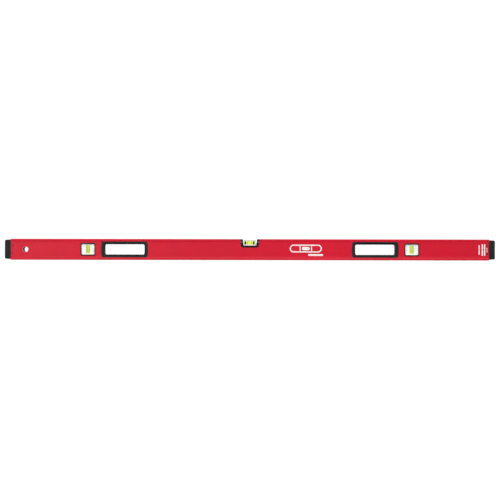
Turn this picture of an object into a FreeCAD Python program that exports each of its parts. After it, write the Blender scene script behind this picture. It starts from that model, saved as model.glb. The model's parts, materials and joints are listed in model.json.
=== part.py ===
"""Box-section spirit level, 1500 mm long: an extruded frame with a centre vial that is open at the top,
two plumb vials, two hand grips and a pull-off cap at each end.

Millimetres. +X runs along the level, +Y to its rear, +Z up. The origin is on the base, under the middle.
"""

import FreeCAD, Part
import math
import os
from FreeCAD import Vector

# ---- overall size -------------------------------------------------------------------------------------
LEVEL_LENGTH = 1500.0
LEVEL_HEIGHT = 64.0
LEVEL_THICKNESS = 30.0
CAP_LENGTH = 19.0
FRAME_HALF = LEVEL_LENGTH / 2 - CAP_LENGTH
MID_Z = LEVEL_HEIGHT / 2
PAST = 2.0  # how far a cutting tool runs past the face that it cuts
TOUCH = 0.01  # how near a point is to a plane that it lies on

# ---- frame section: thick edge rails, a sloping step, a shoulder and a recessed middle panel ------------
RAIL_Y = LEVEL_THICKNESS / 2
RAIL_HEIGHT = 4.5
RAIL_BEVEL = 0.6
SHOULDER_Y = 13.6
SLOPE_TOP = 8.2
SHOULDER_TOP = 11.5
PANEL_Y = 13.2
PANEL_STEP = 0.5
WALL = 1.8
EDGE_WALL = 3.5
CAVITY_Y = PANEL_Y - WALL
CAVITY_RADIUS = 1.5

# ---- outer faces of the plastic trims, just inside the rails so that the level lies flat on its side ----
TRIM_Y = 14.6
SEAM_Y = 0.05  # half the joint between a front and a rear moulding
FLANGE_LAP = 0.5  # how far a collar or sleeve runs into its flange
TRIM_BEVEL = 0.5

# ---- hang hole ----------------------------------------------------------------------------------------
HANG_X = -(FRAME_HALF - 45.0)
HANG_RADIUS = 8.0
HANG_BEVEL = 0.6

# ---- hand grips ---------------------------------------------------------------------------------------
GRIP_X = 383.5
GRIP_HALF_HEIGHT = 24.2
GRIP_END_X = 69.3
GRIP_BOW = 3.6
GRIP_BOW_RADIUS = 130.0
GRIP_CORNER = 5.0
GRIP_HOLE = (68.5, 21.0)  # half length and half height of the cut-out in the frame's walls
GRIP_HOLE_CORNER = 6.5
GRIP_FIT = 0.3
GRIP_OPENING = (61.0, 18.4)
GRIP_OPENING_CORNER = 9.0
GRIP_MOUTH = (66.0, 20.6)
GRIP_MOUTH_DEPTH = 4.1
GRIP_SLEEVE = (65.5, 20.7)
GRIP_SLEEVE_CORNER = 6.2
GRIP_SLEEVE_END = 12.0  # the front moulding lines the opening to here, inside the rear wall
PAD_HALF_LENGTH = 57.0
PAD_THICKNESS = 1.8
RIB_PITCH = 6.0
RIB_COUNT = 19
RIB_RADIUS = 2.2
RIB_HEIGHT = 1.2

# ---- plumb vials --------------------------------------------------------------------------------------
PLUMB_X = 495.3
PLUMB_BEZEL = (22.5, 19.75)
PLUMB_BEZEL_CORNER = 4.8
PLUMB_HOLE = (21.0, 18.25)
PLUMB_HOLE_CORNER = 4.2
PLUMB_FIT = 0.2
PLUMB_WINDOW = (19.65, 16.05)
PLUMB_WINDOW_CORNER = 3.6
SURROUND_FIT = 0.15
SURROUND_FRONT_Y = 12.3
SURROUND_FLOOR_Y = 7.9
SURROUND_BACK_Y = 6.6
SURROUND_RIM = 0.5
SURROUND_FLOOR = (12.7, 13.9)
SURROUND_CORNER = 1.0
PLUMB_APERTURE = (5.95, 13.0)
COLLAR_WALL = 1.2
BLOCK_FIT = 0.1
PLUMB_BLOCK = (8.0, 6.5, 14.5)
PLUMB_BORE_HALF = 12.8
PLUMB_BORE_MID = 5.65
PLUMB_BORE_END = 5.35
PLUMB_LINE_OFFSET = 6.5
PLUMB_LINE_WIDTH = 0.7
PLUMB_RING_INNER = 5.0
PLUMB_FLUID_OUTER = 4.95
PLUMB_FLUID_INNER = 4.35
PLUMB_BUBBLE_RADIUS = 4.0

# ---- centre vial --------------------------------------------------------------------------------------
HOUSING_TOP_Z = 63.7
HOUSING_BOTTOM_Z = 38.6
HOUSING_TOP_X = 30.5
HOUSING_BOTTOM_X = 26.0
HOUSING_CORNER = 6.0
HOUSING_LAP = 1.2
HOUSING_FIT = 0.15
HOUSING_WIDE_Z = 53.0  # above this the housing fills the notch to its full width
FACET_BOTTOM_Z = 52.3
FACET_TOP_Z = 58.3
FACET_DEPTH = 2.2
CRADLE_TOP_X = 22.3
CRADLE_BOTTOM_X = 19.8
CRADLE_Y = 10.5
CRADLE_BOTTOM_Z = 44.3
CRADLE_CORNER = 2.2
CRADLE_TOP_Z = 63.2
CRADLE_FIT = 0.1
CRADLE_VIEW_X = 18.4
CRADLE_VIEW_Z = 47.3
CRADLE_VIEW_CORNER = 1.0
CENTER_BLOCK_X = 19.0
CENTER_BLOCK_Y = 8.0
CENTER_BLOCK_BOTTOM_Z = 45.4
CENTER_BLOCK_TOP_Z = 61.2
CENTER_BLOCK_BEVEL = 1.2
CENTER_BORE_X = -0.9  # off the block's middle, because the plug takes up its right-hand end
CENTER_BORE_Z = 53.0
CENTER_BORE_HALF = 17.4
CENTER_BORE_MID = 5.6
CENTER_BORE_END = 5.3
BOLD_BAND_OFFSET = 13.0
BOLD_BAND_WIDTH = 4.8
FINE_LINE_OFFSET = 6.4
FINE_LINE_WIDTH = 0.7
CENTER_RING_INNER = 5.0
CENTER_FLUID_RADIUS = 4.9
CENTER_FLUID_SURFACE = 0.35  # above the bore's axis
CENTER_BUBBLE_RADIUS = 2.2
CENTER_BUBBLE_RISE = 2.7
BUBBLE_LENGTH = 11.4
RING_FIT = 0.03
END_FIT = 0.1
MOUTH_LAP = 0.2  # how far the mouth of a bore runs into its barrel

# ---- end caps -----------------------------------------------------------------------------------------
CAP_GAP = 0.1
CAP_FLANGE_END = FRAME_HALF + 3.8
CAP_FLANGE = (14.2, 30.0)
CAP_FLANGE_CORNER = 3.0
PLUG_DEPTH = 30.0
PLUG_FIT = 0.3
PLUG_WALL = 2.0
PLUG_CORNER = 1.2
STUB = (8.0, 20.0)
STUB_END = FRAME_HALF + 11.0
STUB_CORNER = 3.0
BUMPER_Y = 13.6
BUMPER_INNER_Z = 29.7
BUMPER_OUTER_Z = 29.0
BUMPER_CORNER = 4.5
BUMPER_ROUND = 3.0
GROOVE_WIDTH = 1.3
GROOVE_DEPTH = 1.0
GROOVE_NEAR = (FRAME_HALF + 5.2, 12.8)
GROOVE_FAR = (LEVEL_LENGTH / 2 - 3.4, 24.8)
PEG_X = FRAME_HALF - 5.8
PEG_OFFSET_Z = 12.5
PEG_HOLE_RADIUS = 2.0
PEG_RADIUS = 1.9
PEG_END_Y = PANEL_Y + 0.2
PEG_HEAD_RADIUS = 3.2
PEG_HEAD_THICKNESS = 1.0


# ---- drawing helpers ----------------------------------------------------------------------------------
def along_y(a, b):
    """A point of an outline that is drawn in the XZ plane and extruded along Y."""
    return Vector(a, 0, b)


def along_x(a, b):
    """A point of an outline that is drawn in the YZ plane and extruded along X."""
    return Vector(0, a, b)


def rounded_wire(corners, place):
    """Closed wire through corners (a, b, radius), each corner rounded to its own radius."""
    arcs = []
    count = len(corners)
    for i, (a, b, radius) in enumerate(corners):
        here = place(a, b)
        arriving = (here - place(*corners[i - 1][:2])).normalize()
        leaving = (place(*corners[(i + 1) % count][:2]) - here).normalize()
        half_turn = arriving.getAngle(leaving) / 2
        reach = radius * math.tan(half_turn)
        inward = leaving - arriving
        if radius and inward.Length:
            inward.normalize()
        middle = here + inward * (radius / math.cos(half_turn) - radius)
        arcs.append((here - arriving * reach, middle, here + leaving * reach, radius))
    edges = []
    for i, (start, middle, end, radius) in enumerate(arcs):
        edges.append(Part.LineSegment(arcs[i - 1][2], start).toShape())
        if radius:
            edges.append(Part.Arc(start, middle, end).toShape())
    return Part.Wire(edges)


def prism_y(corners, y0, y1):
    """Solid with an XZ outline, from y0 to y1."""
    solid = Part.Face(rounded_wire(corners, along_y)).extrude(Vector(0, y1 - y0, 0))
    return solid.translated(Vector(0, y0, 0))


def prism_x(corners, x0, x1):
    """Solid with a YZ outline, from x0 to x1."""
    solid = Part.Face(rounded_wire(corners, along_x)).extrude(Vector(x1 - x0, 0, 0))
    return solid.translated(Vector(x0, 0, 0))


def rectangle(center, half_size, radius):
    """Corners of a rounded rectangle about a centre."""
    (a, b), (half_a, half_b) = center, half_size
    signs = ((-1, -1), (1, -1), (1, 1), (-1, 1))
    return [(a + sa * half_a, b + sb * half_b, radius) for sa, sb in signs]


def grown(half_size, amount):
    """A half size made larger on every side, or smaller where the amount is negative."""
    return tuple(value + amount for value in half_size)


def box(x0, x1, y0, y1, z0, z1):
    """Plain box between two corners."""
    return Part.makeBox(x1 - x0, y1 - y0, z1 - z0, Vector(x0, y0, z0))


def frustum_y(center, size0, y0, size1, y1, radius):
    """Rounded rectangular funnel along Y, from half size size0 at y0 to size1 at y1."""
    wires = []
    for size, y in ((size0, y0), (size1, y1)):
        wire = rounded_wire(rectangle(center, size, radius), along_y)
        wires.append(wire.translated(Vector(0, y, 0)))
    return Part.makeLoft(wires, True, True)


def tube(inner, outer, start, length, axis):
    """Round tube along an axis."""
    shell = Part.makeCylinder(outer, length, start, axis)
    return shell.cut(Part.makeCylinder(inner, length, start, axis))


def bevelled(solid, on_face, size):
    """The solid with a bevel along every edge that lies wholly on one plane."""
    edges = [e for e in solid.Edges if all(on_face(v.Point) for v in e.Vertexes)]
    return solid.makeChamfer(size, edges)


def on_trim_face(point):
    """True for a point on the outer face of a front trim."""
    return point.y < -TRIM_Y + TOUCH


def rear_copy(shape):
    """The rear twin of a front piece."""
    return shape.mirror(Vector(0, 0, 0), Vector(0, 1, 0))


def right_copy(shape):
    """The right-hand twin of a left-hand piece."""
    return shape.mirror(Vector(0, 0, 0), Vector(1, 0, 0))


# ---- frame --------------------------------------------------------------------------------------------
def section_corners():
    """Outline of the frame's outer section in the YZ plane, anticlockwise from the base."""
    quarter = [
        (RAIL_Y - RAIL_BEVEL, 0),
        (RAIL_Y, RAIL_BEVEL),
        (RAIL_Y, RAIL_HEIGHT),
        (SHOULDER_Y, SLOPE_TOP),
        (SHOULDER_Y, SHOULDER_TOP),
        (PANEL_Y, SHOULDER_TOP + PANEL_STEP),
    ]
    rear = quarter + [(y, LEVEL_HEIGHT - z) for y, z in reversed(quarter)]
    front = [(-y, z) for y, z in reversed(rear)]
    return [(y, z, 0) for y, z in rear + front]


def make_envelope():
    """The frame's outer shape without its cavity or cut-outs."""
    return prism_x(section_corners(), -FRAME_HALF, FRAME_HALF)


def make_cavity():
    """The space inside the frame, open at both ends."""
    half = (CAVITY_Y, MID_Z - EDGE_WALL)
    corners = rectangle((0, MID_Z), half, CAVITY_RADIUS)
    return prism_x(corners, -FRAME_HALF - PAST, FRAME_HALF + PAST)


def through_cut(corners):
    """Cutting tool that passes through both side walls."""
    return prism_y(corners, -RAIL_Y - PAST, RAIL_Y + PAST)


def make_hang_hole():
    """Cutting tool for the hang hole, with its deburred edges."""
    axis = Vector(0, 1, 0)
    tool = Part.makeCylinder(HANG_RADIUS, LEVEL_THICKNESS, Vector(HANG_X, -RAIL_Y, MID_Z), axis)
    wide = HANG_RADIUS + HANG_BEVEL
    edge = Part.makeCone(wide, HANG_RADIUS, HANG_BEVEL, Vector(HANG_X, -PANEL_Y, MID_Z), axis)
    return tool.fuse([edge, rear_copy(edge)])


def housing_corners(shrink):
    """Outline of the centre housing, or of the notch that it sits in when shrunk. It tapers downwards."""
    top = HOUSING_TOP_X - shrink
    bottom = HOUSING_BOTTOM_X - shrink
    low = HOUSING_BOTTOM_Z + shrink
    return [
        (-top, HOUSING_TOP_Z, 0),
        (-bottom, low, HOUSING_CORNER - shrink),
        (bottom, low, HOUSING_CORNER - shrink),
        (top, HOUSING_TOP_Z, 0),
    ]


def make_notch():
    """Cutting tool for the centre vial's notch: narrower below, so that the housing laps the panel."""
    lower = through_cut(housing_corners(HOUSING_LAP))
    upper = through_cut(housing_corners(-HOUSING_FIT))
    half = HOUSING_TOP_X + HOUSING_FIT
    wide_part = box(-half, half, -RAIL_Y - PAST, RAIL_Y + PAST, HOUSING_WIDE_Z, LEVEL_HEIGHT)
    over = box(-half, half, -RAIL_Y - PAST, RAIL_Y + PAST, HOUSING_TOP_Z - HOUSING_FIT, LEVEL_HEIGHT + PAST)
    return lower.fuse([upper.common(wide_part), over])


def peg_places():
    """Centres of a cap's two pegs on one side wall, as (x, z) at the right-hand end."""
    return [(PEG_X, MID_Z + sign * PEG_OFFSET_Z) for sign in (-1, 1)]


def make_peg_holes():
    """Cutting tools for the pegs' holes at both ends of the frame."""
    tools = []
    for x, z in peg_places():
        for side in (-1, 1):
            start = Vector(side * x, -RAIL_Y, z)
            tools.append(Part.makeCylinder(PEG_HOLE_RADIUS, LEVEL_THICKNESS, start, Vector(0, 1, 0)))
    return tools


def make_frame():
    """The aluminium extrusion with all its cut-outs."""
    tools = [make_cavity(), make_notch(), make_hang_hole()] + make_peg_holes()
    for side in (-1, 1):
        tools.append(through_cut(rectangle((side * GRIP_X, MID_Z), GRIP_HOLE, GRIP_HOLE_CORNER)))
        tools.append(through_cut(rectangle((side * PLUMB_X, MID_Z), PLUMB_HOLE, PLUMB_HOLE_CORNER)))
    return make_envelope().cut(tools)


# ---- hand grips ---------------------------------------------------------------------------------------
def grip_flange_corners():
    """Outline of a grip's flange: long and low, with ends that bow outwards."""
    bow = GRIP_END_X + GRIP_BOW
    low = MID_Z - GRIP_HALF_HEIGHT
    high = MID_Z + GRIP_HALF_HEIGHT
    return [
        (-GRIP_X - GRIP_END_X, low, GRIP_CORNER),
        (-GRIP_X + GRIP_END_X, low, GRIP_CORNER),
        (-GRIP_X + bow, MID_Z, GRIP_BOW_RADIUS),
        (-GRIP_X + GRIP_END_X, high, GRIP_CORNER),
        (-GRIP_X - GRIP_END_X, high, GRIP_CORNER),
        (-GRIP_X - bow, MID_Z, GRIP_BOW_RADIUS),
    ]


def make_grip_flange(envelope):
    """Flange of the left hand grip, on the frame's front panel."""
    flange = prism_y(grip_flange_corners(), -TRIM_Y, -PANEL_Y + PAST)
    return bevelled(flange, on_trim_face, TRIM_BEVEL).cut(envelope)


def make_grip_collar(end):
    """Block in the front cut-out, behind the left grip's flange, in to a distance from mid-depth."""
    outline = rectangle((-GRIP_X, MID_Z), grown(GRIP_HOLE, -GRIP_FIT), GRIP_HOLE_CORNER - GRIP_FIT)
    return prism_y(outline, -PANEL_Y - FLANGE_LAP, -end)


def make_grip_mouth():
    """Cutting tool for the funnel at the front of the left hand opening."""
    center = (-GRIP_X, MID_Z)
    mouth_end = -TRIM_Y + GRIP_MOUTH_DEPTH
    return frustum_y(center, GRIP_MOUTH, -TRIM_Y, GRIP_OPENING, mouth_end, GRIP_OPENING_CORNER)


def make_grip_front(envelope):
    """Front moulding of the left hand grip: flange, collar, and the sleeve that lines the opening."""
    collar = make_grip_collar(TRIM_Y - GRIP_MOUTH_DEPTH)
    sleeve_outline = rectangle((-GRIP_X, MID_Z), GRIP_SLEEVE, GRIP_SLEEVE_CORNER)
    sleeve = prism_y(sleeve_outline, -PANEL_Y, GRIP_SLEEVE_END)
    mouth = make_grip_mouth()
    moulding = make_grip_flange(envelope).fuse([collar, sleeve])
    return moulding.cut([make_grip_opening(), mouth, rear_copy(mouth)])


def make_grip_rear(envelope):
    """Rear ring of the left hand grip: flange, and a short collar that meets the end of the sleeve."""
    ring = make_grip_flange(envelope).fuse(make_grip_collar(GRIP_SLEEVE_END + 2 * SEAM_Y))
    return rear_copy(ring.cut([make_grip_opening(), make_grip_mouth()]))


def make_grip_opening():
    """The straight part of the left hand opening, as a solid through the whole level."""
    return through_cut(rectangle((-GRIP_X, MID_Z), GRIP_OPENING, GRIP_OPENING_CORNER))


def make_grip_pad(side):
    """Ribbed rubber pad on the upper (side 1) or lower (side -1) wall of the left grip's opening."""
    wall_z = MID_Z + side * GRIP_OPENING[1]
    face_z = wall_z - side * PAD_THICKNESS
    half_depth = TRIM_Y - GRIP_MOUTH_DEPTH
    low, high = sorted((wall_z, face_z))
    x0 = -GRIP_X - PAD_HALF_LENGTH
    pad = box(x0, x0 + 2 * PAD_HALF_LENGTH, -half_depth, half_depth, low, high)
    rib_z = face_z + side * (RIB_RADIUS - RIB_HEIGHT)
    first = -GRIP_X - RIB_PITCH * (RIB_COUNT - 1) / 2
    ribs = []
    for i in range(RIB_COUNT):
        start = Vector(first + i * RIB_PITCH, -half_depth, rib_z)
        ribs.append(Part.makeCylinder(RIB_RADIUS, 2 * half_depth, start, Vector(0, 1, 0)))
    return pad.fuse(ribs).common(make_grip_opening()).removeSplitter()


# ---- vials --------------------------------------------------------------------------------------------
def barrel_radius(middle, end, half, offset):
    """Radius of a barrel-shaped bore at a distance from its middle. Its wall is an arc of a circle."""
    sag = middle - end
    wall = (half * half + sag * sag) / (2 * sag)
    return middle - (wall - math.sqrt(wall * wall - offset * offset))


def barrel(middle, end, half):
    """Barrel-shaped solid about the Z axis, centred on the origin."""
    bottom = Vector(end, 0, -half)
    top = Vector(end, 0, half)
    wall = Part.Arc(bottom, Vector(middle, 0, 0), top).toShape()
    axis_low = Vector(0, 0, -half)
    axis_high = Vector(0, 0, half)
    edges = [
        Part.LineSegment(axis_low, bottom).toShape(),
        wall,
        Part.LineSegment(top, axis_high).toShape(),
        Part.LineSegment(axis_high, axis_low).toShape(),
    ]
    return Part.Face(Part.Wire(edges)).revolve(Vector(0, 0, 0), Vector(0, 0, 1), 360)


def capsule(radius, length):
    """Bubble with round ends, along the Z axis, centred on the origin."""
    reach = length / 2 - radius
    middle = Part.makeCylinder(radius, 2 * reach, Vector(0, 0, -reach))
    ends = [Part.makeSphere(radius, Vector(0, 0, sign * reach)) for sign in (-1, 1)]
    return middle.fuse(ends).removeSplitter()


def ring_pair(offset, width, inner, bore):
    """Two printed rings just inside a barrel bore along Z, at plus and minus the offset."""
    outer = barrel_radius(*bore, offset + width / 2) - RING_FIT
    rings = []
    for sign in (-1, 1):
        start = Vector(0, 0, sign * offset - width / 2)
        rings.append(tube(inner, outer, start, width, Vector(0, 0, 1)))
    return Part.makeCompound(rings)


def at_plumb(shape):
    """A shape built about the origin, moved to the left plumb vial."""
    return shape.translated(Vector(-PLUMB_X, 0, MID_Z))


def at_center(shape):
    """A shape built along Z about the origin, laid along X in the centre vial's bore."""
    laid = shape.rotated(Vector(0, 0, 0), Vector(0, 1, 0), 90)
    return laid.translated(Vector(CENTER_BORE_X, 0, CENTER_BORE_Z))


# ---- plumb vial modules -------------------------------------------------------------------------------
def make_plumb_bezel_front():
    """Front bezel of the left plumb vial: a flange on the panel and a sleeve to mid-depth."""
    center = (-PLUMB_X, MID_Z)
    flange = prism_y(rectangle(center, PLUMB_BEZEL, PLUMB_BEZEL_CORNER), -TRIM_Y, -PANEL_Y)
    flange = bevelled(flange, on_trim_face, TRIM_BEVEL)
    sleeve_size = grown(PLUMB_HOLE, -PLUMB_FIT)
    sleeve_corner = PLUMB_HOLE_CORNER - PLUMB_FIT
    sleeve = prism_y(rectangle(center, sleeve_size, sleeve_corner), -PANEL_Y, -SEAM_Y)
    window = prism_y(rectangle(center, PLUMB_WINDOW, PLUMB_WINDOW_CORNER), -RAIL_Y, PAST)
    wide = grown(PLUMB_WINDOW, TRIM_BEVEL)
    mouth = frustum_y(center, wide, -TRIM_Y, PLUMB_WINDOW, -TRIM_Y + 2 * TRIM_BEVEL, PLUMB_WINDOW_CORNER)
    return flange.fuse(sleeve).cut([window, mouth])


def make_plumb_surround_front():
    """White front surround of the left plumb vial: a shallow trough with a collar that holds the block."""
    center = (-PLUMB_X, MID_Z)
    outer = grown(PLUMB_WINDOW, -SURROUND_FIT)
    corner = PLUMB_WINDOW_CORNER - SURROUND_FIT
    plate = prism_y(rectangle(center, outer, corner), -SURROUND_FRONT_Y, -SURROUND_BACK_Y)
    rim = grown(outer, -SURROUND_RIM)
    trough = frustum_y(center, rim, -SURROUND_FRONT_Y, SURROUND_FLOOR, -SURROUND_FLOOR_Y, SURROUND_CORNER)
    aperture = prism_y(rectangle(center, PLUMB_APERTURE, SURROUND_CORNER), -SURROUND_FRONT_Y, 0)
    pocket_size = grown((PLUMB_BLOCK[0], PLUMB_BLOCK[2]), BLOCK_FIT)
    collar_outline = rectangle(center, grown(pocket_size, COLLAR_WALL), SURROUND_CORNER)
    collar = prism_y(collar_outline, -SURROUND_BACK_Y, -SEAM_Y)
    pocket = prism_y(rectangle(center, pocket_size, 0), -SURROUND_BACK_Y, PAST)
    return plate.fuse(collar).cut([trough, aperture, pocket])


def make_plumb_block():
    """Clear block of the left plumb vial, with its barrel bore and the mouth that the plug closes."""
    half_x, half_y, half_z = PLUMB_BLOCK
    block = box(-half_x, half_x, -half_y, half_y, -half_z, half_z)
    bore = barrel(PLUMB_BORE_MID, PLUMB_BORE_END, PLUMB_BORE_HALF)
    mouth = Part.makeCylinder(PLUMB_BORE_END, half_z, Vector(0, 0, PLUMB_BORE_HALF - MOUTH_LAP))
    return at_plumb(block.cut([bore, mouth]))


def make_plumb_fluid():
    """Liquid of the left plumb vial: the tube of it that stays clear of the bubble's whole travel."""
    half = PLUMB_BORE_HALF - END_FIT
    bottom = Vector(0, 0, -half)
    return at_plumb(tube(PLUMB_FLUID_INNER, PLUMB_FLUID_OUTER, bottom, 2 * half, Vector(0, 0, 1)))


def make_plumb_lines():
    """The two lines of the left plumb vial."""
    bore = (PLUMB_BORE_MID, PLUMB_BORE_END, PLUMB_BORE_HALF)
    return at_plumb(ring_pair(PLUMB_LINE_OFFSET, PLUMB_LINE_WIDTH, PLUMB_RING_INNER, bore))


def make_plumb_plug():
    """Plug that seals the left plumb vial's bore at its upper end."""
    length = PLUMB_BLOCK[2] - PLUMB_BORE_HALF
    return at_plumb(Part.makeCylinder(PLUMB_BORE_END, length, Vector(0, 0, PLUMB_BORE_HALF)))


# ---- centre vial module -------------------------------------------------------------------------------
def cradle_corners(shrink):
    """Outline of the white cradle's body, or of the housing's window round it. It tapers downwards."""
    top = CRADLE_TOP_X - shrink
    bottom = CRADLE_BOTTOM_X - shrink
    low = CRADLE_BOTTOM_Z + shrink
    return [
        (-top, HOUSING_TOP_Z + PAST, 0),
        (-bottom, low, CRADLE_CORNER),
        (bottom, low, CRADLE_CORNER),
        (top, HOUSING_TOP_Z + PAST, 0),
    ]


def make_housing_front(frame):
    """Front half of the centre housing: a U that laps the panel, fills the notch and frames the cradle."""
    flange = prism_y(housing_corners(0), -TRIM_Y, -PANEL_Y + FLANGE_LAP)
    flange = bevelled(flange, on_trim_face, TRIM_BEVEL)
    sleeve = prism_y(housing_corners(HOUSING_LAP + HOUSING_FIT), -PANEL_Y, -SEAM_Y)
    half = HOUSING_TOP_X + PAST
    wide_part = box(-half, half, -PANEL_Y, -SEAM_Y, HOUSING_WIDE_Z + HOUSING_FIT, LEVEL_HEIGHT)
    shoulders = prism_y(housing_corners(0), -PANEL_Y, -SEAM_Y).common(wide_part)
    window = prism_y(cradle_corners(0), -RAIL_Y, PAST)
    facets = [make_post_facet(sign) for sign in (-1, 1)]
    return flange.fuse([sleeve, shoulders]).cut([frame, window] + facets)


def make_post_facet(side):
    """Cutting tool for the sloping facet on one front post of the housing, and the set-back part over it."""
    outline = [
        (-TRIM_Y - PAST, FACET_BOTTOM_Z, 0),
        (-TRIM_Y, FACET_BOTTOM_Z, 0),
        (-TRIM_Y + FACET_DEPTH, FACET_TOP_Z, 0),
        (-TRIM_Y + FACET_DEPTH, HOUSING_TOP_Z + PAST, 0),
        (-TRIM_Y - PAST, HOUSING_TOP_Z + PAST, 0),
    ]
    x0, x1 = sorted((side * (CRADLE_BOTTOM_X - PAST), side * (HOUSING_TOP_X + PAST)))
    return prism_x(outline, x0, x1)


def make_cradle():
    """White cradle that holds the clear block and frames its front, rear and top views."""
    body = prism_y(cradle_corners(CRADLE_FIT), -CRADLE_Y, CRADLE_Y)
    body = body.common(box(-CRADLE_TOP_X, CRADLE_TOP_X, -CRADLE_Y, CRADLE_Y, 0, CRADLE_TOP_Z))
    pocket_x = CENTER_BLOCK_X + BLOCK_FIT
    pocket_y = CENTER_BLOCK_Y + BLOCK_FIT
    pocket = box(-pocket_x, pocket_x, -pocket_y, pocket_y, CENTER_BLOCK_BOTTOM_Z, LEVEL_HEIGHT)
    view_size = (CRADLE_VIEW_X, LEVEL_HEIGHT - CRADLE_VIEW_Z)
    view = rectangle((0, LEVEL_HEIGHT), view_size, CRADLE_VIEW_CORNER)
    return body.cut([pocket, through_cut(view)])


def make_center_block():
    """Clear block of the centre vial, bevelled along its top, with its barrel bore along X."""
    half_x, half_y = CENTER_BLOCK_X, CENTER_BLOCK_Y
    bevel_z = CENTER_BLOCK_TOP_Z - CENTER_BLOCK_BEVEL
    outline = [
        (-half_y, CENTER_BLOCK_BOTTOM_Z, 0),
        (half_y, CENTER_BLOCK_BOTTOM_Z, 0),
        (half_y, bevel_z, 0),
        (half_y - CENTER_BLOCK_BEVEL, CENTER_BLOCK_TOP_Z, 0),
        (CENTER_BLOCK_BEVEL - half_y, CENTER_BLOCK_TOP_Z, 0),
        (-half_y, bevel_z, 0),
    ]
    block = prism_x(outline, -half_x, half_x)
    bore = barrel(CENTER_BORE_MID, CENTER_BORE_END, CENTER_BORE_HALF)
    mouth = Part.makeCylinder(CENTER_BORE_END, half_x, Vector(0, 0, CENTER_BORE_HALF - MOUTH_LAP))
    return block.cut([at_center(bore), at_center(mouth)])


def make_center_fluid():
    """Liquid of the centre vial, up to just below the bubble's path."""
    half = CENTER_BORE_HALF - END_FIT
    liquid = Part.makeCylinder(CENTER_FLUID_RADIUS, 2 * half, Vector(0, 0, -half))
    surface = CENTER_BORE_Z + CENTER_FLUID_SURFACE
    above = box(-half - PAST, half + PAST, -CENTER_BLOCK_Y, CENTER_BLOCK_Y, surface, LEVEL_HEIGHT)
    return at_center(liquid).cut(above)


def make_center_rings(offset, width):
    """A pair of printed rings of the centre vial."""
    bore = (CENTER_BORE_MID, CENTER_BORE_END, CENTER_BORE_HALF)
    return at_center(ring_pair(offset, width, CENTER_RING_INNER, bore))


def make_center_bubble():
    """Bubble of the centre vial, at the top of its bore."""
    bubble = at_center(capsule(CENTER_BUBBLE_RADIUS, BUBBLE_LENGTH))
    return bubble.translated(Vector(0, 0, CENTER_BUBBLE_RISE))


def make_center_plug():
    """Plug that seals the centre vial's bore at its right-hand end."""
    length = CENTER_BLOCK_X - CENTER_BORE_X - CENTER_BORE_HALF
    return at_center(Part.makeCylinder(CENTER_BORE_END, length, Vector(0, 0, CENTER_BORE_HALF)))


# ---- end caps, built at the right-hand end --------------------------------------------------------------
def peg_bar(radius, y0, y1):
    """Four short cylinders at a cap's peg places, front and rear, between two distances from mid-depth."""
    bars = []
    for x, z in peg_places():
        for side in (-1, 1):
            start = Vector(x, side * y0, z)
            bars.append(Part.makeCylinder(radius, y1 - y0, start, Vector(0, side, 0)))
    return bars


def make_cap_core():
    """Hard inner part of the right cap: hollow plug, flange and the stub that the bumper is moulded on."""
    start = FRAME_HALF + CAP_GAP
    flange = prism_x(rectangle((0, MID_Z), CAP_FLANGE, CAP_FLANGE_CORNER), start, CAP_FLANGE_END)
    plug_size = (CAVITY_Y - PLUG_FIT, MID_Z - EDGE_WALL - PLUG_FIT)
    plug = prism_x(rectangle((0, MID_Z), plug_size, PLUG_CORNER), FRAME_HALF - PLUG_DEPTH, start)
    hollow_size = grown(plug_size, -PLUG_WALL)
    hollow = prism_x(rectangle((0, MID_Z), hollow_size, 0), FRAME_HALF - PLUG_DEPTH - PAST, start)
    stub = prism_x(rectangle((0, MID_Z), STUB, STUB_CORNER), CAP_FLANGE_END, STUB_END)
    return flange.fuse([plug, stub]).cut([hollow] + peg_bar(PEG_RADIUS, 0, RAIL_Y))


def groove_bar(start, end):
    """Straight bar between two (x, z) points, as deep as a groove, at the bumper's front face."""
    run = Vector(end[0] - start[0], 0, end[1] - start[1])
    bar = Part.makeBox(run.Length, GROOVE_DEPTH + PAST, GROOVE_WIDTH)
    bar.translate(Vector(0, -PAST, -GROOVE_WIDTH / 2))
    bar.rotate(Vector(0, 0, 0), Vector(0, -1, 0), math.degrees(math.atan2(run.z, run.x)))
    return bar.translated(Vector(start[0], -BUMPER_Y, start[1]))


def make_bumper_grooves():
    """Cutting tools for the moulded grooves that part the bumper's middle panel from its corners."""
    near_x, near_z = GROOVE_NEAR
    far_x, far_z = GROOVE_FAR
    bars = [groove_bar((near_x, MID_Z - near_z), (near_x, MID_Z + near_z))]
    for sign in (-1, 1):
        corner = (near_x, MID_Z + sign * near_z)
        far = (far_x, MID_Z + sign * far_z)
        bars.append(groove_bar(corner, far))
        bars.append(groove_bar((CAP_FLANGE_END, far[1]), far))
    return bars + [rear_copy(bar) for bar in bars]


def make_cap_bumper():
    """Rubber bumper of the right cap: slightly tapered, rounded outside and grooved on both faces."""
    end = LEVEL_LENGTH / 2
    outline = [
        (CAP_FLANGE_END, MID_Z - BUMPER_INNER_Z, 0),
        (end, MID_Z - BUMPER_OUTER_Z, BUMPER_CORNER),
        (end, MID_Z + BUMPER_OUTER_Z, BUMPER_CORNER),
        (CAP_FLANGE_END, MID_Z + BUMPER_INNER_Z, 0),
    ]
    block = prism_y(outline, -BUMPER_Y, BUMPER_Y)
    outer_edges = [e for e in block.Edges if is_bumper_edge(e)]
    block = block.makeFillet(BUMPER_ROUND, outer_edges)
    stub = prism_x(rectangle((0, MID_Z), STUB, STUB_CORNER), CAP_FLANGE_END - PAST, STUB_END)
    return block.cut([stub] + make_bumper_grooves())


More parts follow.
